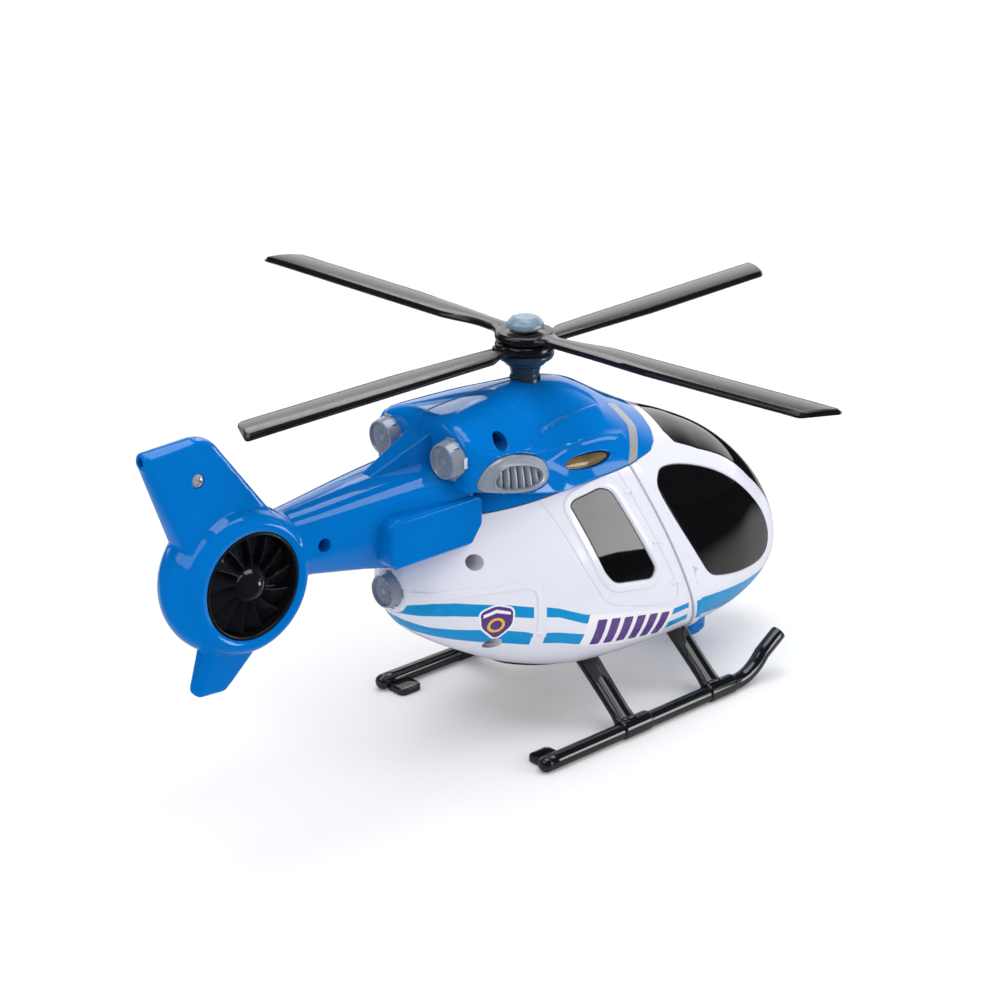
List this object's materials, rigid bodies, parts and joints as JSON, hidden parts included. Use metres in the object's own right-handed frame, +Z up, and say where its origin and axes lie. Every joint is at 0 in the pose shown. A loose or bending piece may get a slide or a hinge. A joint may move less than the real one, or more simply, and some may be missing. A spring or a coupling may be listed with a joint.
{
  "type": "toy helicopter",
  "caption": "Toy rescue helicopter: white and blue moulded shell, dark windows, folding main rotor that spins on its mast, ducted tail fan and fixed skids.",
  "frame": {"origin": "on the ground plane under the middle of the overall length and width, skids standing on Z = 0", "axes": "+X towards the nose, +Y to port (left of a pilot facing the nose), +Z up"},
  "size_m": [0.3649, 0.3284, 0.1862],
  "materials": {
    "white_shell": "glossy moulded plastic",
    "blue_shell": "glossy moulded plastic",
    "black_gloss": "glossy moulded plastic",
    "black_soft": "satin moulded plastic",
    "window": "dark tinted opaque plastic, polished",
    "grey_trim": "satin moulded plastic with a faint metallic tone",
    "stripe_grey": "satin paint",
    "amber_lens": "translucent amber moulding, modelled opaque",
    "steel": "zinc plated",
    "cell": "plain sleeve",
    "board": "solder resist"
  },
  "bodies": {
    "airframe": {"body_right": "white_shell", "body_left": "white_shell", "nose_shell": "white_shell", "windshield": "window", "side_window_right": "window", "side_window_left": "window", "mid_window_right": "window", "mid_window_left": "window", "battery_cover": "black_soft", "cowl_right": "blue_shell", "cowl_left": "blue_shell", "trim_stripe_right": "stripe_grey", "trim_stripe_left": "stripe_grey", "beacon_lens_right": "amber_lens", "beacon_lens_left": "amber_lens", "intake_vent_right": "grey_trim", "intake_vent_left": "grey_trim", "exhaust_right": "grey_trim", "exhaust_left": "grey_trim", "exhaust_tail": "grey_trim", "tail_right": "blue_shell", "tail_left": "blue_shell", "fan_duct": "black_soft", "fan_axle": "steel", "body_screw_upper": "steel", "body_screw_lower": "steel", "cowl_screw": "steel", "boom_screw": "steel", "fin_screw": "steel", "skid_right": "black_gloss", "skid_left": "black_gloss", "strut_rear_right": "black_gloss", "strut_rear_left": "black_gloss", "strut_front_right": "black_gloss", "strut_front_left": "black_gloss", "mast_cup": "grey_trim", "belly_pod": "blue_shell", "battery_box": "black_soft", "cell_right": "cell", "cell_left": "cell", "circuit_board": "board", "speaker": "black_soft"},
    "rotor_lower": {"rotor_mast": "steel", "rotor_pair_lower": "black_gloss", "hub_cap": "grey_trim"},
    "rotor_upper": {"rotor_pair_upper": "black_gloss"},
    "tail_fan_body": {"tail_fan": "black_gloss"}
  },
  "joints": [
    {"name": "rotor_spin", "type": "hinge", "parent": "airframe", "child": "rotor_lower", "pos_m": [0.0182, 0, 0.165], "axis": [0, 0, 1], "continuous": true},
    {"name": "rotor_fold", "type": "hinge", "parent": "rotor_lower", "child": "rotor_upper", "pos_m": [0.0182, 0, 0.1778], "axis": [0, 0, 1], "range_deg": [-66, 58]},
    {"name": "tail_fan_spin", "type": "hinge", "parent": "airframe", "child": "tail_fan_body", "pos_m": [-0.1405, 0, 0.1093], "axis": [0, 1, 0], "continuous": true}
  ]
}
